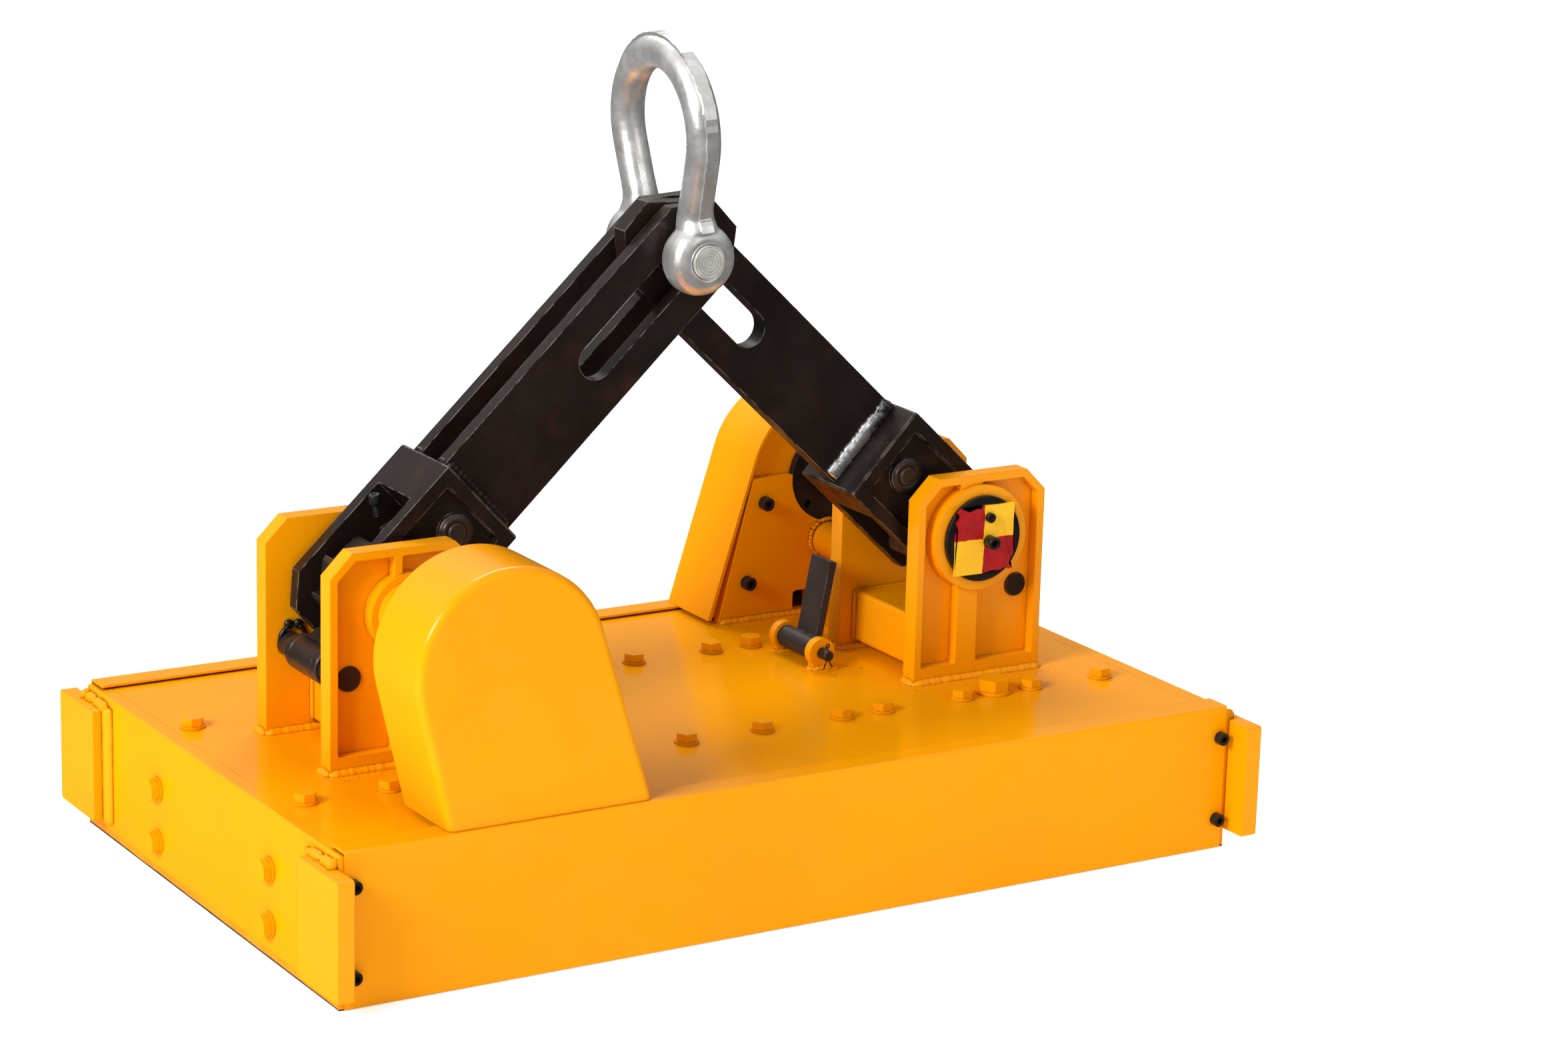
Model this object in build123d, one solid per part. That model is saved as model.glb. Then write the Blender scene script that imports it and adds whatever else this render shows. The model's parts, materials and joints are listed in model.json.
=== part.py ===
from build123d import *
import os
from math import acos, atan2, cos, degrees, pi, radians, sin, sqrt, tan

# Lifting magnet: a switched permanent magnet in a long steel box, lifted by a shackle whose pin
# runs in the slots of two crossed arms. Millimetres, origin under the middle of the box,
# +X along the long front face, +Y to the back, +Z up.
# The two stands are the same, turned half a turn about the vertical, so stand parts are made
# for the left stand and turned for the right one.

# ---- driving dimensions ----
BOX_X = 600.0          # half length over the end plates
BOX_Y = 357.5          # half width over the side covers
PLATE_TOP = 177.0      # upper face of the top plate
PLATE_T = 25.0
BASE_T = 10.0          # bottom plate, which the pole feet reach through
END_T = 20.0
SHEET_T = 3.0
LIP_WIDTH = 35.5
LIP_GAP = 2.5          # the folded lips stand just clear of the top plate
COVER_X = 594.0
COVER_FOOT = 1.0       # lower edge of the side covers
COVER_SCREW_X = 585.0

M16_WASHER_T = 3.0
M16_LENGTH = 37.0
FOOT_NEAR, FOOT_FAR, FOOT_Y = 1.5, 98.0, 225.0   # pole feet, measured from the gap between poles
CHAIN_SLOT_HALF = 20.0
MAGNET_W, MAGNET_FLOOR, MAGNET_COUNT = 56.0, 24.0, 6
CORE_Y = 215.0
STUB_R = 20.0
BEARING_Y, BEARING_T = (-252.0, 237.0), 15.0

WING_Y0, WING_Y1 = 291.0, 394.0
WING_Z0, WING_Z1 = 23.0, 163.0

SHAFT_X, SHAFT_Z = 392.0, 358.0
SHAFT_R = 30.0
ROTOR_X, ROTOR_Z = 338.0, 84.0
ROTOR_R = 50.0
POLE_Y = 235.0
POLE_GAP = 4.0
RUN_FIT = 0.05         # radial clearance of pins and shafts that turn
FACE_GAP = 0.4         # gap between faces that slide past each other

CHEEK_X0, CHEEK_X1 = 304.0, 490.0
CHEEK_Y0, CHEEK_Y1 = 75.0, 100.0
CHEEK_TOP = 437.0
CHEEK_CHAMFER = 28.0
POCKET_DEPTH = 15.0
BUSH_R = 38.0
BUSH_Y = 100.0         # the bushes end here, inside the bosses
SNOUT_R, SNOUT_Y = 40.0, 130.0   # the drive cheek's boss goes on as a narrower snout
HOLD_PAWL_Y = 28.0
CROSS_PIN_X, CROSS_PIN_Z, CROSS_PIN_R = 460.0, 285.0, 15.0

ARM_ANGLE = 43.3       # arms above the horizontal
BLOCK_Y = 60.0
BLOCK_N = 65.0
BLOCK_END = 160.0
ARM_N = 60.0
ARM_END = 612.0
OUTER_ARM_Y0, OUTER_ARM_Y1 = 20.5, 40.0
INNER_ARM_Y = 13.0
SLOT_R = 22.5
OUTER_SLOT_S0, INNER_SLOT_S0, SLOT_S1 = 375.5, 394.0, 548.0
PAWL_PIN_S, PAWL_PIN_R = 112.0, 11.5

PIN_RISE = 6.0         # the lifted shackle holds its pin high in the slots
PIN_Z = SHAFT_Z + SHAFT_X * tan(radians(ARM_ANGLE)) + PIN_RISE
PIN_R, PIN_NECK_R = 20.25, 15.5
PIN_END_Y, PIN_NECK_Y = 96.0, 46.0
BOW_LEAN = -3.5
BOW_TUBE_R = 20.5
BOW_R = 90.0
BOW_TOP = 236.4        # centre line of the bow above the pin
EYE_R, EYE_Y0, EYE_Y1 = 43.5, 46.0, 93.0

RATCHET_TEETH, RATCHET_R, RATCHET_ROOT = 8, 60.0, 50.0
CHAIN_PITCH = 25.4
CHAIN_Y = 300.0
BIG_TEETH, SMALL_TEETH = 24, 12
COVER_R = 118.0
COVER_Y0, COVER_Y1 = 242.0, 352.0
COVER_FOOT_X0, COVER_FOOT_X1 = 209.0, 466.0
COVER_FOOT_Z = 182.5   # on the folded lip
COVER_WALL = 4.0
MOUNT_SCREWS = ((-290.0, 332.0), (-266.0, 228.0))
MOUNT_Y0, MOUNT_Y1 = 242.0, 254.0
HUB_R = 59.0

BOLT_MID_X = -10.0
BOLT_X = (52.0, 164.0, 222.0, 338.0, 440.0, 545.0)
BOLT_ROWS = (-172.0, 140.0)
END_BOLT_Y = (-176.0, 140.0)
END_BOLT_Z = (41.5, 107.0)
COVER_SCREW_Z = (38.5, 143.0)
BIG_BOLT = (378.0, -167.0)

LEVER_X, LEVER_Z = 239.0, 198.0
LEVER_PIN_R = 7.0
LEVER_LEAN = 11.0
LUG_Y = ((11.0, 23.0), (97.0, 109.0))

nodes = {}


# ---- helpers ----
def block(x0, x1, y0, y1, z0, z1):
    centre = Pos((x0 + x1) / 2, (y0 + y1) / 2, (z0 + z1) / 2)
    return centre * Box(abs(x1 - x0), abs(y1 - y0), abs(z1 - z0))


def rod_y(x, z, radius, y0, y1):
    return Pos(x, (y0 + y1) / 2, z) * Rot(90, 0, 0) * Cylinder(radius, abs(y1 - y0))


def rod_x(y, z, radius, x0, x1):
    return Pos((x0 + x1) / 2, y, z) * Rot(0, 90, 0) * Cylinder(radius, abs(x1 - x0))


def rod_z(x, y, radius, z0, z1):
    return Pos(x, y, (z0 + z1) / 2) * Cylinder(radius, abs(z1 - z0))


def ring_y(x, z, outer, inner, y0, y1):
    return rod_y(x, z, outer, y0, y1) - rod_y(x, z, inner, y0 - 1, y1 + 1)


def slab(points, y0, y1):
    """A plate with the (x, z) outline, from y0 to y1."""
    outline = Wire.make_polygon([(x, y0, z) for x, z in points], close=True)
    return extrude(Face(outline), amount=y1 - y0, dir=(0, 1, 0))


def slab_of_edges(edges, y0, y1):
    """The same for an outline of edges drawn in the plane y = 0."""
    face = Pos(0, y0, 0) * Face(Wire(edges))
    return extrude(face, amount=y1 - y0, dir=(0, 1, 0))


def group(shapes):
    solids = []
    for shape in shapes:
        solids.extend(shape.solids())
    return Compound(solids)


def turned(shape):
    """The right stand's part, from the left stand's."""
    return Rot(0, 0, 180) * shape


def both(shape):
    return group([shape, turned(shape)])


def add(name, shape):
    nodes[name] = shape


def add_pair(name, shape):
    add("left_" + name, shape)
    add("right_" + name, turned(shape))


def on_link(shape):
    """From link coordinates (X along the arm from the shaft) to the left link's place."""
    return Pos(-SHAFT_X, 0, SHAFT_Z) * Rot(0, -ARM_ANGLE, 0) * shape


def circle_point(x, z, radius, angle):
    return (x + radius * cos(radians(angle)), z + radius * sin(radians(angle)))


def tangent_angle(x, z, centre_x, centre_z, radius, side):
    """Where a line from (x, z) touches a circle: side +1 is anticlockwise of the line."""
    away = degrees(atan2(z - centre_z, x - centre_x))
    return away + side * degrees(acos(radius / sqrt((x - centre_x) ** 2 + (z - centre_z) ** 2)))


def arc_edge(centre_x, centre_z, radius, start, end):
    ends = [circle_point(centre_x, centre_z, radius, a) for a in (start, (start + end) / 2, end)]
    return Edge.make_three_point_arc(*[(x, 0, z) for x, z in ends])


def line_edge(a, b):
    return Edge.make_line((a[0], 0, a[1]), (b[0], 0, b[1]))


# ---- the box ----
def top_bolt_places():
    places = []
    for row in BOLT_ROWS:
        for step in BOLT_X:
            places.append((BOLT_MID_X - step, row))
            places.append((BOLT_MID_X + step, row))
    return places


def end_bolt_places():
    return [(y, z) for y in END_BOLT_Y for z in END_BOLT_Z]


def hex_bolt(across_flats, head, shank_r, length):
    """A bolt standing on z = 0 with its shank down."""
    hexagon = RegularPolygon(across_flats / sqrt(3), 6)
    body = extrude(hexagon, head) & Cylinder(across_flats * 0.56, head * 2.2)
    body = body & Pos(0, 0, head / 2) * Sphere(across_flats * 0.73)
    return body + rod_z(0, 0, shank_r, -length, 0.5)


def washer(outer, inner, thickness):
    return rod_z(0, 0, outer, 0, thickness) - rod_z(0, 0, inner, -1, thickness + 1)


def make_fasteners():
    bolt = hex_bolt(24.0, 10.0, 8.0, M16_LENGTH)
    ring = washer(15.0, 8.4, M16_WASHER_T)
    bolts, rings = [], []
    for x, y in top_bolt_places():
        bolts.append(Pos(x, y, PLATE_TOP + M16_WASHER_T) * bolt)
        rings.append(Pos(x, y, PLATE_TOP) * ring)
    for side in (-1, 1):
        for y, z in end_bolt_places():
            bolts.append(Pos(side * (BOX_X + M16_WASHER_T), y, z) * Rot(0, side * 90, 0) * bolt)
            rings.append(Pos(side * BOX_X, y, z) * Rot(0, side * 90, 0) * ring)
    bolts.append(Pos(*BIG_BOLT, PLATE_TOP + 4) * hex_bolt(36.0, 15.0, 12.0, 29.0))
    rings.append(Pos(*BIG_BOLT, PLATE_TOP) * washer(22.0, 12.5, 4.0))
    add("hex_bolts", group(bolts))
    add("bolt_washers", group(rings))


def socket_screw(head_r, head, shank_r, length):
    """A cap screw whose head sits on z = 0, with a hexagon socket in its top."""
    cap = chamfer(rod_z(0, 0, head_r, 0, head).edges().group_by(Axis.Z)[-1], head_r * 0.12)
    socket = extrude(Pos(0, 0, head * 0.45) * RegularPolygon(head_r * 0.55, 6), head)
    return cap - socket + rod_z(0, 0, shank_r, -length, 0.5)


def make_socket_screws():
    screw = socket_screw(8.0, 10.0, 5.0, 22.0)
    screws = []
    for side_x in (-1, 1):
        for side_y in (-1, 1):
            for z in COVER_SCREW_Z:
                place = Pos(side_x * COVER_SCREW_X, side_y * BOX_Y, z)
                screws.append(place * Rot(-side_y * 90, 0, 0) * screw)
    screw = Rot(-90, 0, 0) * socket_screw(9.0, 12.0, 6.0, 16.0)
    mount_screws = [Pos(x, -MOUNT_Y0, z) * screw for x, z in MOUNT_SCREWS]
    screws.append(both(group(mount_screws)))
    add("socket_screws", group(screws))


def make_bottom_plate():
    inner_y = BOX_Y - SHEET_T
    plate = block(-BOX_X, BOX_X, -inner_y, inner_y, 0, BASE_T)
    for side in (-1, 1):
        for way in (-1, 1):
            x0 = side * ROTOR_X + way * (POLE_GAP / 2 + FOOT_NEAR)
            x1 = side * ROTOR_X + way * (POLE_GAP / 2 + FOOT_FAR)
            plate -= block(min(x0, x1) - 1, max(x0, x1) + 1, -FOOT_Y - 1, FOOT_Y + 1, -1, BASE_T + 1)
    add("bottom_plate", plate)


def chain_slot_x():
    """Where the chain's two strands cross the middle of the top plate, at the left stand."""
    big, small = sprocket_r(BIG_TEETH), sprocket_r(SMALL_TEETH)
    t = (PLATE_TOP - PLATE_T / 2 - ROTOR_Z) / (SHAFT_Z - ROTOR_Z)
    middle = -(ROTOR_X + t * (SHAFT_X - ROTOR_X))
    half = small + t * (big - small)
    return middle - half, middle + half


def make_top_plate():
    plate = block(-BOX_X + END_T, BOX_X - END_T, -BOX_Y + SHEET_T, BOX_Y - SHEET_T,
                  PLATE_TOP - PLATE_T, PLATE_TOP)
    for x, y in top_bolt_places():
        plate -= rod_z(x, y, 8.0, PLATE_TOP - PLATE_T - 1, PLATE_TOP + 1)
    plate -= rod_z(*BIG_BOLT, 12.0, PLATE_TOP - PLATE_T - 1, PLATE_TOP + 1)
    plate -= rod_z(289.0, -6.0, 3.0, PLATE_TOP - 12, PLATE_TOP + 1)
    for x in chain_slot_x():
        slot = block(x - CHAIN_SLOT_HALF, x + CHAIN_SLOT_HALF, -CHAIN_Y - 22, -CHAIN_Y + 22,
                     PLATE_TOP - PLATE_T - 1, PLATE_TOP + 1)
        plate = plate - slot - turned(slot)
    add("top_plate", plate)


def make_end_plates():
    plate = block(-BOX_X, -BOX_X + END_T, -BOX_Y + SHEET_T, BOX_Y - SHEET_T, BASE_T, PLATE_TOP)
    plate = chamfer(plate.edges().filter_by(Axis.Y).group_by(Axis.Z)[-1].sort_by(Axis.X)[0], 2.0)
    for y, z in end_bolt_places():
        plate -= rod_x(y, z, 8.0, -BOX_X - 1, -BOX_X + END_T + 1)
    for side in (-1, 1):
        for z in COVER_SCREW_Z:
            plate -= rod_y(-COVER_SCREW_X, z, 5.0, side * (BOX_Y - SHEET_T), side * (BOX_Y - 26))
    add("end_plates", group([plate, mirror(plate, Plane.YZ)]))


def make_side_covers():
    inner_y = -BOX_Y + SHEET_T
    lip_z = PLATE_TOP + LIP_GAP
    wall = block(-COVER_X, COVER_X, -BOX_Y, inner_y, COVER_FOOT, lip_z + SHEET_T)
    lip = block(-COVER_X, COVER_X, -BOX_Y, -BOX_Y + LIP_WIDTH, lip_z, lip_z + SHEET_T)
    cover = wall + lip
    bend = cover.edges().filter_by(Axis.X).sort_by(lambda e: e.center().Y - e.center().Z)[0]
    cover = fillet(bend, SHEET_T * 1.2)
    for x in (-COVER_SCREW_X, COVER_SCREW_X):
        for z in COVER_SCREW_Z:
            cover -= rod_y(x, z, 5.0, -BOX_Y - 1, inner_y + 1)
    add("front_cover", cover)
    add("rear_cover", turned(cover))


def make_corner_wings():
    wings = []
    for side_x in (-1, 1):
        for side_y in (-1, 1):
            wing = block(side_x * BOX_X, side_x * (BOX_X + END_T),
                         side_y * WING_Y0, side_y * WING_Y1, WING_Z0, WING_Z1)
            wings.append(fillet(wing.edges().filter_by(Axis.X), 4.0))
    add("corner_wings", group(wings))


# ---- the magnet inside ----
def make_pole_blocks():
    poles = []
    bore = rod_y(-ROTOR_X, ROTOR_Z, ROTOR_R + 1.5, -POLE_Y - 1, POLE_Y + 1)
    ranges = ((-BOX_X + END_T, -ROTOR_X - POLE_GAP / 2, -1), (-ROTOR_X + POLE_GAP / 2, -94.0, 1))
    for x0, x1, way in ranges:
        pole = block(x0, x1, -POLE_Y, POLE_Y, BASE_T, PLATE_TOP - PLATE_T) - bore
        near = -ROTOR_X + way * (POLE_GAP / 2 + FOOT_NEAR)
        far = -ROTOR_X + way * (POLE_GAP / 2 + FOOT_FAR)
        pole += block(min(near, far), max(near, far), -FOOT_Y, FOOT_Y, 0, BASE_T + 1) - bore
        poles.append(pole)
        poles.append(turned(pole))
    drilled = []
    bottom = PLATE_TOP + M16_WASHER_T - M16_LENGTH
    for pole in poles:
        box = pole.bounding_box()
        for x, y in top_bolt_places():
            if box.min.X < x < box.max.X:
                pole -= rod_z(x, y, 8.0, bottom, PLATE_TOP)
        if box.min.X < BIG_BOLT[0] < box.max.X:
            pole -= rod_z(*BIG_BOLT, 12.0, PLATE_TOP - PLATE_T - 2, PLATE_TOP)
        drilled.append(pole)
    finished = []
    for pole in drilled:
        box = pole.bounding_box()
        for side in (-1, 1):
            if abs(box.min.X if side < 0 else box.max.X) > 570:
                for y, z in end_bolt_places():
                    reach = BOX_X + M16_WASHER_T - M16_LENGTH
                    pole -= rod_x(y, z, 8.0, side * reach, side * BOX_X)
        finished.append(pole)
    add("pole_blocks", group(finished))


def make_centre_block():
    core = block(-94.0, 94.0, -POLE_Y, POLE_Y, BASE_T, PLATE_TOP - PLATE_T)
    for x, y in top_bolt_places():
        if abs(x) < 94:
            core -= rod_z(x, y, 8.0, PLATE_TOP + M16_WASHER_T - M16_LENGTH, PLATE_TOP)
    add("centre_magnet_block", core)


def make_rotors():
    """Each rotor is one turned piece with a row of magnets let into two opposite flats."""
    core = rod_y(0, 0, ROTOR_R, -CORE_Y - 13, CORE_Y + 13)
    core += rod_y(0, 0, STUB_R, -CHAIN_Y - 22, 256.0)
    magnets = []
    pitch = 2 * CORE_Y / MAGNET_COUNT
    for way in (-1, 1):
        z0, z1 = sorted((way * MAGNET_FLOOR, way * (ROTOR_R + 5)))
        core -= block(-MAGNET_W / 2, MAGNET_W / 2, -CORE_Y, CORE_Y, z0, z1)
        for k in range(MAGNET_COUNT):
            y = -CORE_Y + k * pitch
            piece = block(-MAGNET_W / 2 + 0.3, MAGNET_W / 2 - 0.3, y + 0.5, y + pitch - 0.5, z0, z1)
            magnets.append(piece & rod_y(0, 0, ROTOR_R - 0.3, -CORE_Y, CORE_Y))
    place = Pos(-ROTOR_X, 0, ROTOR_Z)
    add_pair("rotor_core", place * core)
    add_pair("rotor_magnets", place * group(magnets))


def bearing_bushes():
    """The left side's shaft and rotor bushes."""
    bushes = []
    for y0, y1 in ((-BUSH_Y, -CHEEK_Y0), (CHEEK_Y0, BUSH_Y)):
        bushes.append(ring_y(-SHAFT_X, SHAFT_Z, BUSH_R, SHAFT_R + RUN_FIT, y0, y1))
    for y0 in BEARING_Y:
        bushes.append(ring_y(-ROTOR_X, ROTOR_Z, 26.0, STUB_R + RUN_FIT, y0, y0 + BEARING_T))
    return group(bushes)


def make_bearings():
    plates = []
    for y0 in BEARING_Y:
        plate = block(-ROTOR_X - 66, -ROTOR_X + 66, y0, y0 + BEARING_T, 20.0, 148.0)
        plates.append(plate - rod_y(-ROTOR_X, ROTOR_Z, 26.0, y0 - 1, y0 + BEARING_T + 1))
    add("bearing_plates", both(group(plates)))
    add("bearing_bushes", both(bearing_bushes()))


# ---- stands ----
def cheek(y0, y1, pockets, boss_r, outer_y):
    """A cheek of the left stand. The pockets (x ranges) are sunk into its outer face."""
    c = CHEEK_CHAMFER
    outline = [(-CHEEK_X1, PLATE_TOP), (-CHEEK_X1, CHEEK_TOP - c), (-CHEEK_X1 + c, CHEEK_TOP),
               (-CHEEK_X0 - c, CHEEK_TOP), (-CHEEK_X0, CHEEK_TOP - c), (-CHEEK_X0, PLATE_TOP)]
    shape = slab(outline, y0, y1)
    way = 1 if outer_y > 0 else -1
    floor = way * (CHEEK_Y1 - POCKET_DEPTH)
    rim, low = 10.0, 197.0
    inner_outline = [(-CHEEK_X1 + rim, low), (-CHEEK_X1 + rim, CHEEK_TOP - c - 4),
                     (-CHEEK_X1 + c + 4, CHEEK_TOP - rim), (-CHEEK_X0 - c - 4, CHEEK_TOP - rim),
                     (-CHEEK_X0 - rim, CHEEK_TOP - c - 4), (-CHEEK_X0 - rim, low)]
    recess = slab(inner_outline, min(floor, outer_y), max(floor, outer_y))
    cuts = None
    for x0, x1 in pockets:
        part = recess & block(-x1, -x0, -200, 200, 0, 500)
        part = fillet(part.edges().filter_by(Axis.Y), 3.0)
        cuts = part if cuts is None else cuts + part
    shape -= cuts
    shape += rod_y(-SHAFT_X, SHAFT_Z, boss_r, floor, outer_y)
    if way < 0:
        shape += rod_y(-SHAFT_X, SHAFT_Z, SNOUT_R, floor, -SNOUT_Y)
    shape -= rod_y(-SHAFT_X, SHAFT_Z, BUSH_R, 0, way * BUSH_Y)
    shape -= rod_y(-SHAFT_X, SHAFT_Z, SHAFT_R + 0.5, -200, 200)
    shape -= rod_y(-CROSS_PIN_X, CROSS_PIN_Z, CROSS_PIN_R, -200, 200)
    return shape


def make_stands():
    drive_cheek = cheek(-CHEEK_Y1, -CHEEK_Y0, ((314.0, 399.0), (409.0, 480.0)), 48.0, -104.0)
    sign_cheek = cheek(CHEEK_Y0, CHEEK_Y1, ((314.0, 365.0), (395.0, 480.0)), 67.0, 106.0)
    add("left_front_cheek", drive_cheek)
    add("left_rear_cheek", sign_cheek)
    add("right_rear_cheek", turned(drive_cheek))
    add("right_front_cheek", turned(sign_cheek))
    bar = block(-430.0, -326.0, -CHEEK_Y0, CHEEK_Y0, 187.0, 253.0)
    bar = fillet(bar.edges().filter_by(Axis.Y), 5.0)
    spacer = rod_y(-386.0, 274.0, 23.0, -MOUNT_Y0, -CHEEK_Y1 + POCKET_DEPTH) - drive_cheek
    add("stand_braces", both(group([bar, spacer])))


def make_cross_pins():
    pin = rod_y(-CROSS_PIN_X, CROSS_PIN_Z, CROSS_PIN_R, -88.0, 88.0)
    pin = chamfer(pin.edges(), 1.0)
    add("cross_pins", both(pin))
    rings = []
    for side in (-1, 1):
        collar = ring_y(-CROSS_PIN_X, CROSS_PIN_Z, 22.0, CROSS_PIN_R, side * 35.0 - 6, side * 35.0 + 6)
        rings.append(chamfer(collar.edges().filter_by(GeomType.CIRCLE), 1.5))
        step = ring_y(-CROSS_PIN_X, CROSS_PIN_Z, 18.5, CROSS_PIN_R, side * 46.5 - 4, side * 46.5 + 4)
        rings.append(chamfer(step.edges().filter_by(GeomType.CIRCLE), 1.0))
        y0, y1 = sorted((side * CHEEK_Y0, side * (BLOCK_Y + FACE_GAP)))
        rings.append(ring_y(-SHAFT_X, SHAFT_Z, 42.0, SHAFT_R + 0.5, y0, y1))
    add("thrust_collars", both(group(rings)))


def make_holding_pawls():
    """Pivots on the cross pin, with its nose just off the ratchet's tooth tips."""
    aim = atan2(SHAFT_Z - CROSS_PIN_Z, CROSS_PIN_X - SHAFT_X)
    reach = sqrt((SHAFT_Z - CROSS_PIN_Z) ** 2 + (CROSS_PIN_X - SHAFT_X) ** 2)
    nose = reach - RATCHET_R - 1.0
    pawl = rod_y(0, 0, 22.0, -HOLD_PAWL_Y, HOLD_PAWL_Y)
    pawl += slab([(0, -19), (nose, -5), (nose, 7), (0, 20)], -HOLD_PAWL_Y, HOLD_PAWL_Y)
    pawl -= rod_y(0, 0, CROSS_PIN_R + RUN_FIT, -60, 60)
    place = Pos(-CROSS_PIN_X, 0, CROSS_PIN_Z) * Rot(0, -degrees(aim), 0)
    add_pair("holding_pawl", place * pawl)


# ---- main shafts, ratchets and the turning sign ----
def make_main_shafts():
    shaft = rod_y(-SHAFT_X, SHAFT_Z, SHAFT_R, -110.0, 104.0)
    shaft += rod_y(-SHAFT_X, SHAFT_Z, 27.0, -CHAIN_Y - 22, -109.0)
    add_pair("main_shaft", shaft)
    points = []
    step = 360.0 / RATCHET_TEETH
    for k in range(RATCHET_TEETH):
        points.append(circle_point(0, 0, RATCHET_ROOT, k * step))
        points.append(circle_point(0, 0, RATCHET_R, k * step))
        points.append(circle_point(0, 0, RATCHET_R - 1.0, k * step + 6))
    wheel = slab(points, -30.0, 30.0) - rod_y(0, 0, SHAFT_R, -60, 60)
    add_pair("ratchet_wheel", Pos(-SHAFT_X, 0, SHAFT_Z) * wheel)
    disc = ring_y(-SHAFT_X, SHAFT_Z, 54.0, 10.0, 106.5, 112.0)
    disc += ring_y(-SHAFT_X, SHAFT_Z, SHAFT_R, 10.0, 104.0, 107.0)
    add_pair("end_disc", chamfer(disc.edges().filter_by(GeomType.CIRCLE).sort_by(Axis.Y)[-1], 1.5))
    sign = block(-SHAFT_X - 43.5, -SHAFT_X + 43.5, 112.0, 115.0, SHAFT_Z - 43.0, SHAFT_Z + 43.0)
    sign -= rod_y(-SHAFT_X - 6, SHAFT_Z - 3, 5.0, 100, 130)
    add_pair("indicator_plate", sign)


# ---- chain drive ----
def sprocket_r(teeth):
    return CHAIN_PITCH / (2 * sin(pi / teeth))


def sprocket(teeth, bore, hub_r):
    radius = sprocket_r(teeth)
    wheel = rod_y(0, 0, radius + 5.0, -7.0, 7.0)
    for k in range(teeth):
        x, z = circle_point(0, 0, radius, k * 360.0 / teeth)
        wheel -= rod_y(x, z, 8.2, -8, 8)
    wheel += rod_y(0, 0, hub_r, -16.0, 16.0)
    return wheel - rod_y(0, 0, bore, -30, 30)


def strand_loop(grow):
    """The closed outline round both sprockets, at a distance from the pitch line."""
    big = sprocket_r(BIG_TEETH) + grow
    small = sprocket_r(SMALL_TEETH) + grow
    dx, dz = ROTOR_X - SHAFT_X, SHAFT_Z - ROTOR_Z
    lean = degrees(atan2(dz, dx))
    spread = degrees(acos((small - big) / sqrt(dx * dx + dz * dz)))
    a, b = lean - spread, lean + spread
    top = [circle_point(-SHAFT_X, SHAFT_Z, big, angle) for angle in (a, b)]
    low = [circle_point(-ROTOR_X, ROTOR_Z, small, angle) for angle in (a, b)]
    return [arc_edge(-SHAFT_X, SHAFT_Z, big, a, b), line_edge(top[1], low[1]),
            arc_edge(-ROTOR_X, ROTOR_Z, small, b, a + 360), line_edge(low[0], top[0])]


def make_chains():
    plates = None
    for y in (-CHAIN_Y - 13.0, -CHAIN_Y + 9.0):
        band = slab_of_edges(strand_loop(9.0), y, y + 4) - slab_of_edges(strand_loop(-9.0), y - 1, y + 5)
        plates = band if plates is None else plates + band
    pitch_line = strand_loop(0.0)
    clear_run = 2.5 * CHAIN_PITCH
    for strand in (pitch_line[1], pitch_line[3]):
        count = int((strand.length - 2 * clear_run) / CHAIN_PITCH) + 1
        for k in range(count):
            at = strand.position_at((clear_run + k * CHAIN_PITCH) / strand.length)
            plates += rod_y(at.X, at.Z, 7.9, -CHAIN_Y - 11, -CHAIN_Y + 11)
    add("drive_chains", both(plates))


def make_sprockets():
    upper = Pos(-SHAFT_X, -CHAIN_Y, SHAFT_Z) * sprocket(BIG_TEETH, 27.0, 46.0)
    lower = Pos(-ROTOR_X, -CHAIN_Y, ROTOR_Z) * sprocket(SMALL_TEETH, STUB_R, 30.0)
    add_pair("upper_sprocket", upper)
    add_pair("lower_sprocket", lower)


def cover_outline(shrink, foot_z):
    """The round-headed outline of a drive cover, drawn in by shrink."""
    radius = COVER_R - shrink
    cx, cz = -SHAFT_X + 5.0, SHAFT_Z - 2.0
    left = (-COVER_FOOT_X1 + shrink, foot_z)
    right = (-COVER_FOOT_X0 - shrink, foot_z)
    a = tangent_angle(*right, cx, cz, radius, 1)
    b = tangent_angle(*left, cx, cz, radius, -1) + 360
    return [line_edge(left, right), line_edge(right, circle_point(cx, cz, radius, a)),
            arc_edge(cx, cz, radius, a, b), line_edge(circle_point(cx, cz, radius, b), left)]


def make_drive_covers():
    shell = slab_of_edges(cover_outline(0.0, COVER_FOOT_Z), -COVER_Y1, -COVER_Y0)
    front = shell.faces().sort_by(Axis.Y)[0]
    rounded = [e for e in front.edges() if e.center().Z > COVER_FOOT_Z + 1]
    shell = fillet(rounded, 9.0)
    inside = cover_outline(COVER_WALL, COVER_FOOT_Z - 5)
    shell -= slab_of_edges(inside, -COVER_Y1 + COVER_WALL, -COVER_Y0 + 1)
    add_pair("drive_cover", shell)
    back = slab_of_edges(cover_outline(COVER_WALL + 0.1, COVER_FOOT_Z - 5), -MOUNT_Y1 - 4, -MOUNT_Y1)
    back -= block(-500, -200, -300, -200, 100, COVER_FOOT_Z)
    back -= mount_notch()
    back -= rod_y(-SHAFT_X, SHAFT_Z, 30.0, -300, -200)
    for x, z in MOUNT_SCREWS:
        back -= rod_y(x, z, 6.0, -300, -200)
    add("cover_backplates", both(back))


def mount_notch():
    notch = block(-361.0, -337.0, -300, -200, PLATE_TOP - 10, 208.0)
    return fillet(notch.edges().filter_by(Axis.Y).group_by(Axis.Z)[-1], 5.0)


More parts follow.
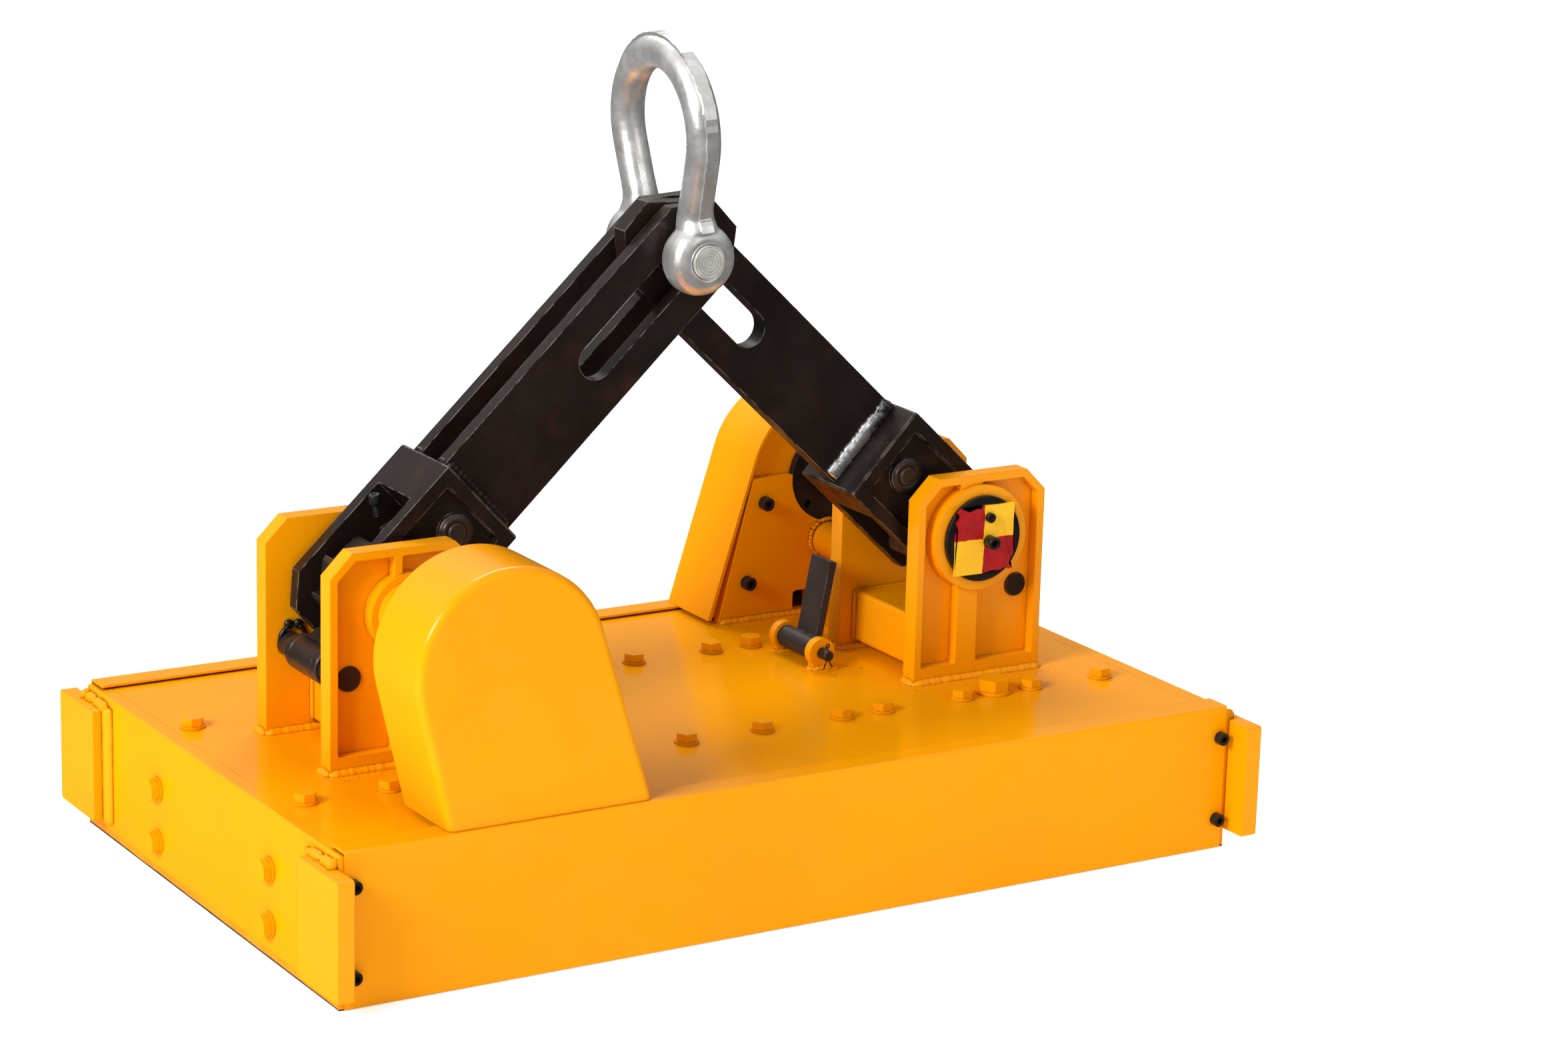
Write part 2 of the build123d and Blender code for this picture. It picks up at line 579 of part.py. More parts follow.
def make_mount_plates():
    outline = [(-225, PLATE_TOP), (-272, 365), (-425, 365), (-425, PLATE_TOP)]
    plate = slab(outline, -MOUNT_Y1, -MOUNT_Y0) - rod_y(-SHAFT_X, SHAFT_Z, HUB_R + 1, -300, -200)
    plate -= mount_notch()
    for x, z in MOUNT_SCREWS:
        plate -= rod_y(x, z, 6.0, -300, -200)
    add_pair("mount_plate", plate)
    hub = ring_y(-SHAFT_X, SHAFT_Z, HUB_R, 27.0 + RUN_FIT, -MOUNT_Y1, -MOUNT_Y0 - 2)
    for k in range(4):
        x, z = circle_point(-SHAFT_X, SHAFT_Z, 49.0, 45.0 + 90.0 * k)
        hub -= rod_y(x, z, 5.0, -MOUNT_Y1 + 3, -200)
    add("outer_bearings", both(hub))


# ---- links, arms and drive pawls, in link coordinates ----
def make_link_block():
    n, tail = BLOCK_N, -70.0
    outline = [(tail, -34), (-36, -n), (BLOCK_END, -n), (BLOCK_END, n), (-36, n), (tail, 34)]
    shape = slab(outline, -BLOCK_Y, BLOCK_Y)
    shape = chamfer(shape.faces().sort_by(Axis.X)[-1].edges(), 2.0)
    shape -= block(tail - 5, 104.0, -42.0, 42.0, -n - 5, n + 5)
    shape -= block(103.0, 136.0, -26.0, 26.0, -26.0, 26.0)
    for side in (-1, 1):
        recess = block(24.0, 142.0, side * (BLOCK_Y - 8), side * (BLOCK_Y + 2), -48.0, 48.0)
        shape -= fillet(recess.edges().filter_by(Axis.Y), 4.0)
        shape += rod_y(PAWL_PIN_S, 0, 21.5, side * (BLOCK_Y - 12), side * (BLOCK_Y - 2))
    shape -= rod_y(0, 0, SHAFT_R + RUN_FIT, -90, 90)
    shape -= rod_y(PAWL_PIN_S, 0, PAWL_PIN_R, -90, 90)
    return shape


def arm_plate(y0, y1, slot_start):
    n, cut_s, cut_n = ARM_N, 45.0, 38.0
    outline = [(BLOCK_END, -n), (ARM_END - cut_s, -n), (ARM_END, -n + cut_n),
               (ARM_END, n - cut_n), (ARM_END - cut_s, n), (BLOCK_END, n)]
    plate = slab(outline, y0, y1)
    plate -= block(slot_start, SLOT_S1, y0 - 1, y1 + 1, -SLOT_R, SLOT_R)
    for s in (slot_start, SLOT_S1):
        plate -= rod_y(s, 0, SLOT_R, y0 - 1, y1 + 1)
    return plate


def make_drive_pawl():
    """Hooks from its pin towards the ratchet, its nose just off the tooth tips."""
    nose_x, nose_z = circle_point(0, 0, RATCHET_R + 1.0, 24.0)
    shape = rod_y(PAWL_PIN_S, 0, 20.0, -24.0, 24.0)
    shape += slab([(PAWL_PIN_S - 12, -15.5), (nose_x + 3, nose_z - 7.5), (nose_x, nose_z),
                   (nose_x + 10, nose_z + 9), (PAWL_PIN_S + 4, 19.5)], -24.0, 24.0)
    return shape - rod_y(PAWL_PIN_S, 0, PAWL_PIN_R + RUN_FIT, -60, 60)


def make_links():
    add_pair("link_block", on_link(make_link_block()))
    add("left_front_arm", on_link(arm_plate(-OUTER_ARM_Y1, -OUTER_ARM_Y0, OUTER_SLOT_S0)))
    add("left_rear_arm", on_link(arm_plate(OUTER_ARM_Y0, OUTER_ARM_Y1, OUTER_SLOT_S0)))
    add("right_arm", turned(on_link(arm_plate(-INNER_ARM_Y, INNER_ARM_Y, INNER_SLOT_S0))))
    pin = rod_y(PAWL_PIN_S, 0, PAWL_PIN_R, -BLOCK_Y - 3, BLOCK_Y + 3)
    add_pair("pawl_pin", on_link(chamfer(pin.edges(), 1.5)))
    add_pair("drive_pawl", on_link(make_drive_pawl()))


# ---- shackle ----
def bow_path():
    """Half the bow's centre line in the plane x = 0, from an eye to the crown."""
    flare = radians(18.0)
    bend_r, leg_y = 60.0, 64.5
    centre_z = BOW_TOP - BOW_R
    touch = (BOW_R * cos(flare), centre_z - BOW_R * sin(flare))
    run = (touch[0] - bend_r * (1 - cos(flare)) - leg_y) / sin(flare)
    low = (touch[0] - run * sin(flare), touch[1] - run * cos(flare))
    bend_centre = (leg_y + bend_r, low[1] - bend_r * sin(flare))
    bend_end = (leg_y, bend_centre[1])
    bend_mid = (bend_centre[0] - bend_r * cos(flare / 2), bend_centre[1] + bend_r * sin(flare / 2))
    crown_mid = (BOW_R * cos(radians(36.0)), centre_z + BOW_R * sin(radians(36.0)))
    crown = (0.0, BOW_TOP)
    stops = [(leg_y, 8.0), bend_end, bend_mid, low, touch, crown_mid, crown]
    foot, bend_end, bend_mid, low, touch, crown_mid, crown = [(0, y, z) for y, z in stops]
    return [Edge.make_line(foot, bend_end),
            Edge.make_three_point_arc(bend_end, bend_mid, low),
            Edge.make_line(low, touch),
            Edge.make_three_point_arc(touch, crown_mid, crown)]


def make_shackle():
    path = Wire(bow_path())
    start = Plane(origin=path.position_at(0), z_dir=path.tangent_at(0))
    half = sweep(start * Circle(BOW_TUBE_R), path)
    eye = rod_y(0, 0, EYE_R, EYE_Y0, EYE_Y1)
    half += fillet(eye.edges().filter_by(GeomType.CIRCLE), 15.0)
    bow = half + mirror(half, Plane.XZ)
    bore = rod_y(0, 0, PIN_R + RUN_FIT, -120, 120)
    bow -= bore
    mouths = [e for e in bow.edges().filter_by(GeomType.CIRCLE)
              if abs(abs(e.center().Y) - EYE_Y1) < 0.5 and e.radius < 25]
    bow = chamfer(mouths, 2.0)
    add("shackle_bow", Pos(0, 0, PIN_Z) * Rot(0, BOW_LEAN, 0) * bow)
    pin = rod_y(0, PIN_Z, PIN_R, -PIN_END_Y, -PIN_NECK_Y) + rod_y(0, PIN_Z, PIN_R, PIN_NECK_Y, PIN_END_Y)
    pin += rod_y(0, PIN_Z, PIN_NECK_R, -PIN_NECK_Y - 1, PIN_NECK_Y + 1)
    add("shackle_pin", pin)


# ---- lock lever ----
def make_lock_lever():
    lugs = []
    for y0, y1 in LUG_Y:
        lug = rod_y(LEVER_X, LEVER_Z, 18.5, y0, y1)
        lug += block(LEVER_X - 13, LEVER_X + 13, y0, y1, PLATE_TOP, LEVER_Z)
        lugs.append(lug - rod_y(LEVER_X, LEVER_Z, LEVER_PIN_R, y0 - 1, y1 + 1))
    add("lever_lugs", group(lugs))
    pin = rod_y(LEVER_X, LEVER_Z, LEVER_PIN_R, -6.0, 113.0)
    add("lever_pin", chamfer(pin.edges(), 1.0))
    sleeve = rod_y(0, 0, 14.0, LUG_Y[0][1] + FACE_GAP, LUG_Y[1][0] - FACE_GAP)
    bar = block(4.0, 14.0, 38.0, 82.0, 6.0, 111.0)
    lever = sleeve + bar - rod_y(0, 0, LEVER_PIN_R + RUN_FIT, 0, 120)
    add("lock_lever", Pos(LEVER_X, 0, LEVER_Z) * Rot(0, LEVER_LEAN, 0) * lever)


make_bottom_plate()
make_top_plate()
make_end_plates()
make_side_covers()
make_corner_wings()
make_fasteners()
make_socket_screws()
make_pole_blocks()
make_centre_block()
make_rotors()
make_bearings()
make_stands()
make_cross_pins()
make_holding_pawls()
make_main_shafts()
make_sprockets()
make_chains()
make_drive_covers()
make_mount_plates()
make_links()
make_shackle()
make_lock_lever()

os.makedirs("parts", exist_ok=True)
for name, shape in nodes.items():
    export_step(shape, "parts/" + name + ".step")
print(len(nodes), "nodes")
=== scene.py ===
import json
import random
from math import ceil, cos, pi, radians, sin

import bmesh
import bpy
from mathutils import Matrix, Vector


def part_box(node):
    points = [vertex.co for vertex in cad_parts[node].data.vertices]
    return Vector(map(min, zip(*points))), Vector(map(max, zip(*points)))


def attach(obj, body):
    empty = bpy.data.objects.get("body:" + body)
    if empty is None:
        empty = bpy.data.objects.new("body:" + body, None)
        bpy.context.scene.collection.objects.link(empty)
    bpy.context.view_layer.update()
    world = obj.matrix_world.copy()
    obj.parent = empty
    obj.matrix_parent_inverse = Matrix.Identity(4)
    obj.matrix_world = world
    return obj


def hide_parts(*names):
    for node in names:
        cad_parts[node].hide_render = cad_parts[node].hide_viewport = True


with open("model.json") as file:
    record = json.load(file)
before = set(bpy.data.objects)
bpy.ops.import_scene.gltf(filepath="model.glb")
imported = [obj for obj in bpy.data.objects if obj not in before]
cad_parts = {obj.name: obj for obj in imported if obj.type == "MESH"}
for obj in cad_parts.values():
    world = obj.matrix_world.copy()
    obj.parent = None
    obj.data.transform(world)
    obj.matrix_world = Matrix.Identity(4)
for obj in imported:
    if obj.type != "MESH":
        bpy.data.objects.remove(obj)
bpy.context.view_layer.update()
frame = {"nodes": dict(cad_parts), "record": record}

NODES = frame["nodes"]
MM = 0.001

# ---- places taken from the frame, in millimetres ----


def box_mm(node):
    low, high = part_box(node)
    return low / MM, high / MM


def middle_mm(node):
    low, high = box_mm(node)
    return (low + high) / 2


PLATE_TOP = box_mm("top_plate")[1].z
SHAFT = middle_mm("right_main_shaft")
PIN = middle_mm("shackle_pin")
CROSS_PIN = middle_mm("right_holding_pawl")
ARM_ANGLE = 43.3

# ---- camera ----
CAMERA_PLACE = (-2.4144, -4.1749, 1.6724)
CAMERA_FORWARD = (0.509, 0.822, -0.255)
CAMERA_ROLL = 1.6
CAMERA_LENS = 94.84


def make_camera():
    forward = Vector(CAMERA_FORWARD).normalized()
    right = forward.cross(Vector((0, 0, 1))).normalized()
    up = right.cross(forward)
    roll = radians(CAMERA_ROLL)
    tilted_right = right * cos(roll) + up * sin(roll)
    tilted_up = up * cos(roll) - right * sin(roll)
    camera = bpy.data.objects.new("camera", bpy.data.cameras.new("camera"))
    bpy.context.scene.collection.objects.link(camera)
    turn = Matrix((tilted_right, tilted_up, -forward)).transposed().to_4x4()
    camera.matrix_world = Matrix.Translation(CAMERA_PLACE) @ turn
    camera.data.lens = CAMERA_LENS
    camera.data.sensor_width = 36.0
    camera.data.clip_end = 100.0
    bpy.context.scene.camera = camera


# ---- node material helpers ----
class Shader:
    """A node material with its Principled shader, and short ways to add nodes to it."""

    def __init__(self, name):
        self.material = bpy.data.materials.new(name)
        self.material.use_nodes = True
        self.tree = self.material.node_tree
        self.surface = self.tree.nodes["Principled BSDF"]
        self.place = self.add("ShaderNodeTexCoord").outputs["Object"]

    def add(self, kind, **settings):
        node = self.tree.nodes.new(kind)
        for key, value in settings.items():
            setattr(node, key, value)
        return node

    def link(self, source, target):
        self.tree.links.new(source, target)

    def put(self, socket, value):
        """Sets a socket, or links it where the value is another node's output."""
        if isinstance(value, bpy.types.NodeSocket):
            self.link(value, socket)
        else:
            socket.default_value = value

    def axes(self):
        """The place's X, Y and Z in metres."""
        split = self.add("ShaderNodeSeparateXYZ")
        self.link(self.place, split.inputs["Vector"])
        return split.outputs["X"], split.outputs["Y"], split.outputs["Z"]

    def noise(self, scale, detail=4.0, roughness=0.6, stretch=(1, 1, 1)):
        spread = self.add("ShaderNodeMapping")
        spread.inputs["Scale"].default_value = stretch
        self.link(self.place, spread.inputs["Vector"])
        node = self.add("ShaderNodeTexNoise")
        node.inputs["Scale"].default_value = scale
        node.inputs["Detail"].default_value = detail
        node.inputs["Roughness"].default_value = roughness
        self.link(spread.outputs["Vector"], node.inputs["Vector"])
        return node.outputs["Fac"]

    def ramp(self, value, low, high, start=0.0, end=1.0):
        node = self.add("ShaderNodeMapRange", clamp=True, interpolation_type="SMOOTHSTEP")
        self.link(value, node.inputs["Value"])
        for socket, number in (("From Min", low), ("From Max", high), ("To Min", start), ("To Max", end)):
            node.inputs[socket].default_value = number
        return node.outputs["Result"]

    def math(self, operation, a, b=0.5):
        node = self.add("ShaderNodeMath", operation=operation)
        self.put(node.inputs[0], a)
        self.put(node.inputs[1], b)
        return node.outputs["Value"]

    def mix(self, factor, a, b):
        node = self.add("ShaderNodeMix", data_type="RGBA")
        self.put(node.inputs["Factor"], factor)
        for socket, value in ((node.inputs[6], a), (node.inputs[7], b)):
            self.put(socket, (*value, 1.0) if isinstance(value, tuple) else value)
        return node.outputs[2]

    def rounded(self, radius_mm):
        node = self.add("ShaderNodeBevel", samples=4)
        node.inputs["Radius"].default_value = radius_mm * MM
        return node.outputs["Normal"]

    def edges(self, radius_mm):
        """Near 1 along sharp edges and 0 on flat faces."""
        flat = self.add("ShaderNodeNewGeometry").outputs["Normal"]
        dot = self.add("ShaderNodeVectorMath", operation="DOT_PRODUCT")
        self.link(self.rounded(radius_mm), dot.inputs[0])
        self.link(flat, dot.inputs[1])
        return self.ramp(dot.outputs["Value"], 0.995, 0.90)

    def creases(self, reach_mm, low, high):
        """Near 1 in narrow gaps and inside corners, and 0 in the open."""
        node = self.add("ShaderNodeAmbientOcclusion", samples=6)
        node.inputs["Distance"].default_value = reach_mm * MM
        return self.ramp(node.outputs["AO"], high, low)

    def bump(self, height, strength, distance_mm, under=None):
        node = self.add("ShaderNodeBump")
        node.inputs["Strength"].default_value = strength
        node.inputs["Distance"].default_value = distance_mm * MM
        self.link(height, node.inputs["Height"])
        if under is not None:
            self.link(under, node.inputs["Normal"])
        return node.outputs["Normal"]

    def finish(self, color, roughness, normal, metallic=0.0, specular=0.5):
        self.put(self.surface.inputs["Base Color"], color)
        self.put(self.surface.inputs["Roughness"], roughness)
        self.put(self.surface.inputs["Metallic"], metallic)
        self.put(self.surface.inputs["Normal"], normal)
        self.surface.inputs["Specular IOR Level"].default_value = specular
        return self.material


YELLOW = (0.88, 0.318, 0.0003)
YELLOW_LIGHT = (0.91, 0.345, 0.0004)
YELLOW_DEEP = (0.76, 0.235, 0.0003)


def yellow_paint(name, rough=0.15, grain_mm=0.0, round_mm=1.6):
    """Gloss enamel with painted shade darkening its corners and gaps; grain_mm is the height of the rough
    surface under it.
    """
    s = Shader(name)
    color = s.mix(s.ramp(s.noise(3.0, 2.0), 0.35, 0.7), YELLOW, YELLOW_LIGHT)
    drips = s.ramp(s.noise(26.0, 6.0), 0.62, 0.80, 0.0, 0.12 + grain_mm)
    color = s.mix(drips, color, YELLOW_DEEP)
    chips = s.math("MULTIPLY", s.edges(1.2), s.ramp(s.noise(150.0, 5.0), 0.58, 0.68))
    color = s.mix(s.math("MULTIPLY", chips, 0.5), color, (0.35, 0.10, 0.005))
    specks = s.ramp(s.noise(330.0, 1.0), 0.815, 0.84, 0.0, 0.7)
    color = s.mix(specks, color, (0.22, 0.06, 0.004))
    # painted shade: ambient occlusion darkens the paint in creases, gaps and round washers, unevenly by noise
    crease_shade = s.math("MULTIPLY", s.creases(5.0, 0.30, 0.72), s.ramp(s.noise(40.0, 4.0), 0.30, 0.60, 0.45, 0.85))
    color = s.mix(crease_shade, color, (0.16, 0.045, 0.002))
    roughness = s.ramp(s.noise(18.0, 4.0), 0.3, 0.8, rough, rough + 0.07)
    normal = s.rounded(round_mm)
    normal = s.bump(s.noise(3.0, 1.0), 0.4, 0.25, normal)
    normal = s.bump(s.noise(150.0, 3.0), 0.3, 0.015 + grain_mm, normal)
    return s.finish(color, roughness, normal, specular=0.19)


def dark_steel(name, base=(0.0105, 0.0062, 0.0050), shine=0.36, wear=0.9, metallic=0.15):
    """Oiled dark scale with rubbed bright edges, fine scratches and a little rust."""
    s = Shader(name)
    color = s.mix(s.ramp(s.noise(7.0, 5.0), 0.35, 0.75), base, tuple(c * 1.7 for c in base))
    rust = s.ramp(s.noise(20.0, 7.0, 0.7), 0.50, 0.78, 0.0, 0.55)
    color = s.mix(rust, color, (0.050, 0.014, 0.006))
    flecks = s.ramp(s.noise(240.0, 2.0), 0.76, 0.80, 0.0, 0.35)
    color = s.mix(flecks, color, (0.16, 0.14, 0.12))
    rubbed = s.math("MULTIPLY", s.edges(1.8), s.ramp(s.noise(48.0, 7.0), 0.42, 0.56, 0.0, wear))
    color = s.mix(rubbed, color, (0.34, 0.30, 0.27))
    roughness = s.ramp(s.noise(34.0, 6.0), 0.3, 0.8, shine - 0.08, shine + 0.18)
    normal = s.rounded(1.2)
    normal = s.bump(s.noise(14.0, 3.0), 0.4, 0.5, normal)
    normal = s.bump(s.noise(110.0, 6.0), 0.35, 0.20, normal)
    return s.finish(color, roughness, normal, metallic=metallic, specular=0.30)


def painted_base(name):
    """The bottom plate: enamel on its edges, ground bare at the working face."""
    s = Shader(name)
    z = s.axes()[2]
    paint = s.mix(s.ramp(s.noise(14.0, 4.0), 0.3, 0.7), YELLOW, YELLOW_DEEP)
    steel = s.mix(s.ramp(s.noise(40.0, 5.0), 0.3, 0.7), (0.035, 0.030, 0.026), (0.07, 0.06, 0.05))
    height = s.math("ADD", z, s.math("MULTIPLY", s.noise(9.0, 3.0), 3 * MM))
    bare = s.ramp(height, 4.5 * MM, 3.0 * MM)
    roughness = s.ramp(s.noise(30.0, 4.0), 0.3, 0.8, 0.28, 0.46)
    normal = s.bump(s.noise(120.0, 4.0), 0.3, 0.1, s.rounded(0.8))
    return s.finish(s.mix(bare, paint, steel), roughness, normal, specular=0.25)


def plain_metal(name, base, shine, grain=(1, 1, 1), metallic=1.0, dirt=(0.10, 0.09, 0.08)):
    s = Shader(name)
    color = s.mix(s.ramp(s.noise(30.0, 6.0), 0.40, 0.80, 0.0, 0.6), base, dirt)
    bright = tuple(min(1.0, c * 1.6 + 0.04) for c in base)
    color = s.mix(s.math("MULTIPLY", s.edges(0.7), 0.6), color, bright)
    roughness = s.ramp(s.noise(60.0, 5.0, 0.6, grain), 0.3, 0.8, shine - 0.06, shine + 0.14)
    normal = s.rounded(0.6)
    normal = s.bump(s.noise(200.0, 4.0, 0.6, grain), 0.3, 0.15, normal)
    return s.finish(color, roughness, normal, metallic=metallic)


def galvanised(name, tone=1.0):
    """Bright zinc over a forging: soft flow marks, dull patches and a few rust-brown ones."""
    s = Shader(name)
    light, dull = (0.93 * tone, 0.93 * tone, 0.92 * tone), (0.66 * tone, 0.65 * tone, 0.63 * tone)
    color = s.mix(s.ramp(s.noise(30.0, 6.0), 0.35, 0.72), dull, light)
    color = s.mix(s.ramp(s.noise(120.0, 6.0), 0.62, 0.80, 0.0, 0.25), color, (0.34, 0.33, 0.31))
    color = s.mix(s.ramp(s.noise(38.0, 3.0), 0.68, 0.76, 0.0, 0.12), color, (0.50, 0.38, 0.24))
    roughness = s.ramp(s.noise(50.0, 5.0), 0.3, 0.8, 0.24, 0.44)
    normal = s.bump(s.noise(34.0, 4.0), 0.5, 0.5)
    normal = s.bump(s.noise(210.0, 3.0), 0.3, 0.07, normal)
    return s.finish(color, roughness, normal, metallic=0.80)


def turned_zinc(name):
    """A pin end: zinc over lathe rings, with dirt in the rings."""
    s = Shader(name)
    x, _, z = s.axes()
    across = s.math("SUBTRACT", x, PIN.x * MM)
    above = s.math("SUBTRACT", z, PIN.z * MM)
    far = s.math("SQRT", s.math("ADD", s.math("MULTIPLY", across, across), s.math("MULTIPLY", above, above)))
    uneven = s.math("ADD", far, s.math("MULTIPLY", s.noise(60.0), 2 * MM))
    rings = s.ramp(s.math("SINE", s.math("MULTIPLY", uneven, 1700.0)), -1.0, 1.0)
    color = s.mix(s.ramp(s.noise(70.0, 6.0), 0.35, 0.75), (0.58, 0.57, 0.53), (0.90, 0.90, 0.86))
    color = s.mix(s.math("MULTIPLY", rings, 0.35), color, (0.14, 0.13, 0.11))
    normal = s.bump(rings, 0.4, 0.25, s.rounded(1.6))
    return s.finish(color, s.ramp(s.noise(80.0), 0.3, 0.8, 0.3, 0.5), normal, metallic=0.45)


def weld_steel(name):
    """A bare run of weld: bright metal with dark slag and heat tints."""
    s = Shader(name)
    color = s.mix(s.ramp(s.noise(34.0, 5.0), 0.36, 0.50), (0.10, 0.10, 0.105), (0.80, 0.80, 0.80))
    color = s.mix(s.ramp(s.noise(25.0, 4.0), 0.60, 0.72, 0.0, 0.6), color, (0.06, 0.05, 0.10))
    roughness = s.ramp(s.noise(120.0, 4.0), 0.3, 0.8, 0.18, 0.45)
    normal = s.bump(s.noise(45.0, 3.0), 0.6, 0.6)
    return s.finish(color, roughness, normal, metallic=0.9)


def indicator_paint(name, node, facing):
    """Red and yellow quarters, brushed on by hand. facing is +1 where the plate looks to -Y."""
    s = Shader(name)
    centre = middle_mm(node) * MM
    x, _, z = s.axes()
    wobble = s.math("MULTIPLY", s.math("SUBTRACT", s.noise(75.0, 3.0), 0.5), 5 * MM)
    across = s.math("MULTIPLY", s.math("SUBTRACT", x, centre.x - 1.5 * MM), float(facing))
    across = s.math("ADD", across, wobble)
    above = s.math("ADD", s.math("SUBTRACT", z, centre.z + 1.0 * MM), wobble)
    red = s.ramp(s.math("MULTIPLY", across, above), 1e-6, -1e-6)
    yellow = s.mix(s.ramp(s.noise(20.0, 3.0), 0.3, 0.7), (0.93, 0.50, 0.004), (0.96, 0.57, 0.01))
    deep = s.mix(s.ramp(s.noise(45.0, 4.0), 0.3, 0.7), (0.34, 0.003, 0.006), (0.45, 0.006, 0.010))
    color = s.mix(red, yellow, deep)
    strokes = s.noise(90.0, 4.0, 0.6, (6, 1, 1))
    normal = s.bump(strokes, 0.3, 0.25, s.rounded(0.5))
    normal = s.bump(red, 0.6, 0.25, normal)
    return s.finish(color, s.ramp(strokes, 0.3, 0.8, 0.20, 0.36), normal, specular=0.42)


# ---- mesh helpers ----
def make_piece(name, bm, material, body, smooth=True):
    for vertex in bm.verts:
        vertex.co *= MM
    bmesh.ops.recalc_face_normals(bm, faces=bm.faces)
    mesh = bpy.data.meshes.new(name)
    bm.to_mesh(mesh)
    bm.free()
    for polygon in mesh.polygons:
        polygon.use_smooth = smooth
    piece = bpy.data.objects.new(name, mesh)
    bpy.context.scene.collection.objects.link(piece)
    mesh.materials.append(material)
    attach(piece, body)
    return piece


def add_tube(bm, points, radii, sides=12):
    """A closed tube along points with a radius at each one."""
    rings = []
    side = None
    for k, point in enumerate(points):
        before = points[max(k - 1, 0)]
        after = points[min(k + 1, len(points) - 1)]
        along = (after - before).normalized()
        if side is None:
            side = along.orthogonal().normalized()
        side = (side - along * side.dot(along)).normalized()
        other = along.cross(side)
        ring = []
        for j in range(sides):
            angle = 2 * pi * j / sides
            ring.append(bm.verts.new(point + (side * cos(angle) + other * sin(angle)) * radii[k]))
        rings.append(ring)
    for a, b in zip(rings, rings[1:]):
        for j in range(sides):
            bm.faces.new((a[j], a[(j + 1) % sides], b[(j + 1) % sides], b[j]))
    bm.faces.new(rings[0])
    bm.faces.new(list(reversed(rings[-1])))


def add_ring(bm, centre, axis, profile, closed=False, sides=36, hexed=()):
    """Turns a profile of (radius, height) round an axis. Rings listed in hexed are hexagons."""
    axis = Vector(axis).normalized()
    side = axis.orthogonal().normalized()
    other = axis.cross(side)
    rings = []
    for number, (radius, height) in enumerate(profile):
        ring = []
        for j in range(sides):
            angle = 2 * pi * j / sides
            reach = radius
            if number in hexed:
                reach = radius / cos((angle % (pi / 3)) - pi / 6)
            at = Vector(centre) + axis * height + (side * cos(angle) + other * sin(angle)) * reach
            ring.append(bm.verts.new(at))
        rings.append(ring)
    pairs = list(zip(rings, rings[1:]))
    if closed:
        pairs.append((rings[-1], rings[0]))
    for a, b in pairs:
        for j in range(sides):
            bm.faces.new((a[j], a[(j + 1) % sides], b[(j + 1) % sides], b[j]))
    if not closed:
        bm.faces.new(list(reversed(rings[0])))
        bm.faces.new(rings[-1])


def add_cap_screw(bm, seat, axis, head_r, head):
    """A socket cap screw's head standing on its seat."""
    profile = [(head_r, -0.5), (head_r, head * 0.88), (head_r * 0.90, head), (head_r * 0.56, head),
               (head_r * 0.50, head * 0.94), (head_r * 0.50, head * 0.42), (head_r * 0.12, head * 0.36)]
    add_ring(bm, seat, axis, profile, hexed=(4, 5))


def add_band(bm, corners, rings):
    """Skins a run of rings, each a list of corners points, and closes its ends."""
    made = [[bm.verts.new(point) for point in ring] for ring in rings]
    for a, b in zip(made, made[1:]):
        for j in range(corners):
            bm.faces.new((a[j], a[(j + 1) % corners], b[(j + 1) % corners], b[j]))
    bm.faces.new(list(reversed(made[0])))
    bm.faces.new(made[-1])


def add_bead(bm, corners, radius, rng, pitch=9.0, rough=0.06):
    """A weld run along straight stretches: soft overlapping ripples with an uneven edge."""
    points, radii = [], []
    step = pitch / 4
    swell = 1.0
    for start, end in zip(corners, corners[1:]):
        start, end = Vector(start), Vector(end)
        count = max(4, ceil((end - start).length / step))
        for k in range(count + 1):
            at = start.lerp(end, k / count)
            swell += (rng.uniform(0.86, 1.14) - swell) * 0.35
            ripple = 1.0 + rough * (0.6, 0.1, -0.6, -0.1)[k % 4]
            ends = min(1.0, 0.45 + min(k, count - k) * 0.2)
            sway = Vector((rng.uniform(-1, 1), rng.uniform(-1, 1), rng.uniform(-1, 1)))
            points.append(at + sway * radius * rough * 0.5)
            radii.append(radius * swell * ripple * ends)
    add_tube(bm, points, radii, 12)


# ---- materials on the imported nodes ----
MATERIALS = {
    "yellow": yellow_paint("yellow_enamel"),
    "small_yellow": yellow_paint("yellow_on_bolts", 0.18, 0.0, 0.3),
    "cast_yellow": yellow_paint("yellow_over_casting", 0.24, 0.16, 2.0),
    "bead_yellow": yellow_paint("yellow_over_weld", 0.22, 0.30, 0.5),
    "dark": dark_steel("dark_arm_steel"),
    "turned": dark_steel("dark_turned_steel", (0.030, 0.022, 0.018), 0.34, 0.5, 0.5),
    "lever": dark_steel("dark_lever_steel", (0.026, 0.022, 0.021), 0.46, 0.4, 0.1),
    "oxide": plain_metal("black_oxide", (0.016, 0.016, 0.018), 0.34, metallic=0.5, dirt=(0.03, 0.026, 0.022)),
    "bare": plain_metal("darkened_base_steel", (0.045, 0.038, 0.032), 0.48, metallic=0.6),
    "base": painted_base("painted_base_plate"),
    "bronze": plain_metal("bearing_bronze", (0.55, 0.34, 0.12), 0.32),
    "plated": plain_metal("magnet_plating", (0.62, 0.62, 0.60), 0.25),
    "zinc": galvanised("galvanised_forging"),
    "seam": galvanised("trimmed_forging_seam", 0.92),
    "pin": turned_zinc("shackle_pin_zinc"),
    "weld": weld_steel("bare_weld"),
}
CAST = ("cheek", "stand_braces", "lever_lugs", "corner_wings")
SMALL = ("hex_bolts", "bolt_washers")
SLOT_MATERIALS = {
    "yellow_paint": "yellow",
    "galvanised_steel": "zinc",
    "black_steel": "dark",
    "bronze": "bronze",
    "magnet_plating": "plated",
    "black_oxide": "oxide",
    "bare_steel": "bare",
    "worn_steel": "turned",
}


